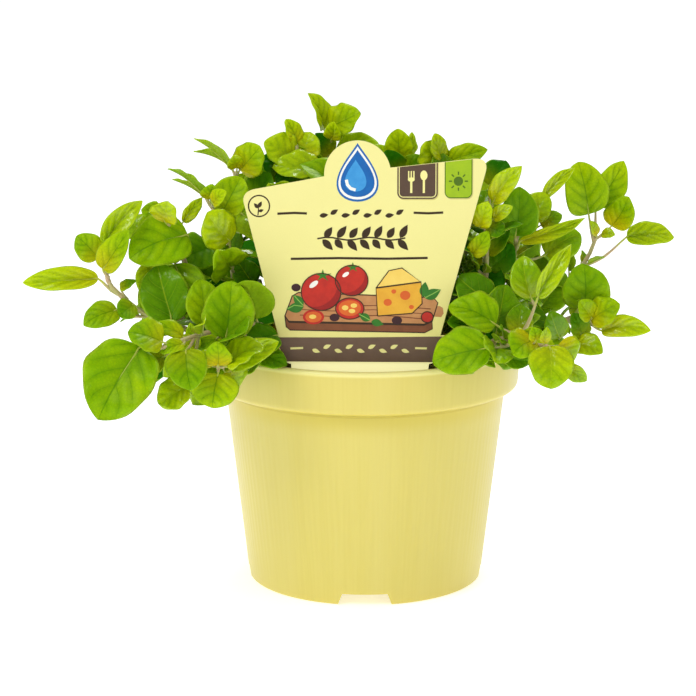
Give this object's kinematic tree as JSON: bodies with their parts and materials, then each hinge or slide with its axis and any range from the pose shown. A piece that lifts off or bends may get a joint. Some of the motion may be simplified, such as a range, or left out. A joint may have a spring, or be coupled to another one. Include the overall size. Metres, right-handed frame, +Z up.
{
  "type": "potted oregano plant",
  "caption": "Bushy oregano plant in a round tapered plastic pot with a collar, with a die-cut plant label standing in the soil in front.",
  "frame": {"origin": "middle of the object on the ground, at the centre of the pot's foot", "axes": "+Z up, -Y to the front where the label stands, +X to the viewer's right"},
  "size_m": [0.249, 0.1826, 0.187],
  "materials": {
    "pot_plastic": "thin pale-yellow moulded plastic, slightly translucent, satin, with faint upright flutes",
    "soil": null,
    "label_card": "thin printed plastic card, cream-yellow, satin",
    "foliage": null
  },
  "bodies": {
    "root": {"pot": "pot_plastic", "soil": "soil", "label": "label_card", "shoot_far_left": "foliage", "shoot_lower_left": "foliage", "shoot_front_left": "foliage", "shoot_round_leaf": "foliage", "shoot_left_middle": "foliage", "shoot_upper_left": "foliage", "shoot_high_left": "foliage", "shoot_top_left": "foliage", "shoot_top": "foliage", "shoot_top_right": "foliage", "shoot_high_right": "foliage", "shoot_by_label": "foliage", "shoot_upper_right": "foliage", "shoot_far_right": "foliage", "shoot_right_middle": "foliage", "shoot_lower_right": "foliage", "shoot_right_inner": "foliage", "shoot_01": "foliage", "shoot_02": "foliage", "shoot_03": "foliage", "shoot_04": "foliage", "shoot_05": "foliage", "shoot_06": "foliage", "shoot_07": "foliage", "shoot_08": "foliage", "shoot_09": "foliage", "shoot_10": "foliage", "shoot_11": "foliage", "shoot_12": "foliage", "shoot_13": "foliage", "shoot_14": "foliage", "shoot_15": "foliage", "shoot_16": "foliage", "shoot_18": "foliage"}
  },
  "joints": []
}
